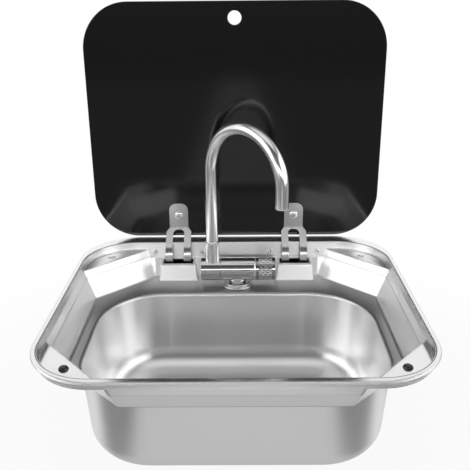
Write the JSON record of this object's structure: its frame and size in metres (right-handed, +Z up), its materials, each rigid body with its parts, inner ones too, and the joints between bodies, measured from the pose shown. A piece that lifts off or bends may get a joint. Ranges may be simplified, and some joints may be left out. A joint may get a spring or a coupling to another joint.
{
  "type": "rv sink with glass lid",
  "caption": "Drop-in steel sink with a hinged black glass lid, a folding gooseneck tap on a stepped ledge, and a plug waste.",
  "frame": {"origin": "centre of the rim on the worktop surface", "axes": "+X to the user's right, +Y to the back where the lid is hinged, +Z up"},
  "size_m": [0.42, 0.3835, 0.5314],
  "materials": {
    "stainless": "satin",
    "chrome": "polished",
    "black_glass": "polished",
    "black_rubber": "matt",
    "black_plastic": "matt",
    "white_plastic": "matt",
    "ceramic": "polished",
    "brass": "turned"
  },
  "bodies": {
    "sink": {"sink_bowl": "stainless", "rim_seal": "black_rubber", "glass_bumpers": "black_rubber", "hinge_bracket_left": "stainless", "hinge_bracket_right": "stainless", "hinge_pin_left": "stainless", "hinge_pin_right": "stainless", "hinge_housing_left": "black_plastic", "hinge_housing_right": "black_plastic", "hinge_rivets": "stainless", "tap_rosette": "chrome", "tap_foot_seal": "black_rubber", "tap_body": "chrome", "journal_rings": "black_rubber", "tap_under_washer": "black_rubber", "tap_lock_nut": "brass", "tap_inlet_nozzle": "brass", "tap_ring": "chrome", "valve_seat_disc": "ceramic", "drain_flange": "stainless", "drain_seal": "black_rubber", "drain_nut": "black_plastic", "drain_body": "black_plastic"},
    "lid": {"lid_glass": "black_glass", "hinge_strap_left": "stainless", "hinge_strap_right": "stainless", "strap_pads": "black_rubber", "strap_bushes": "black_plastic", "strap_screws": "stainless", "glass_caps": "chrome"},
    "spout": {"spout_sleeve": "chrome", "spout_collar": "chrome", "collar_screw": "stainless"},
    "pipe": {"spout_pipe": "chrome", "pipe_ring": "black_rubber", "aerator": "white_plastic"},
    "knob": {"knob_sleeve": "chrome", "knob_cap": "chrome", "valve_spindle": "brass", "valve_turn_disc": "ceramic"},
    "plug": {"plug_disc": "chrome", "plug_seal": "black_rubber", "plug_pull": "chrome"}
  },
  "joints": [
    {"name": "lid_hinge", "type": "hinge", "parent": "sink", "child": "lid", "pos_m": [0, 0.1696, -0.0173], "axis": [1, 0, 0], "range_deg": [0, 92]},
    {"name": "spout_fold", "type": "hinge", "parent": "sink", "child": "spout", "pos_m": [-0.0326, 0.126, -0.0228], "axis": [1, 0, 0], "range_deg": [0, 90]},
    {"name": "spout_swivel", "type": "hinge", "parent": "spout", "child": "pipe", "pos_m": [-0.0326, 0.126, 0], "axis": [0, 0, 1], "range_deg": [-3, 47]},
    {"name": "valve_knob", "type": "hinge", "parent": "sink", "child": "knob", "pos_m": [0.04, 0.126, -0.0228], "axis": [1, 0, 0], "range_deg": [0, 90]},
    {"name": "drain_plug", "type": "slide", "parent": "sink", "child": "plug", "axis": [0, 0, 1], "range_m": [0, 0.04]}
  ],
  "couplings": [
    {"joint": "spout_fold", "follows": "lid_hinge", "ratio": 0.97826}
  ]
}
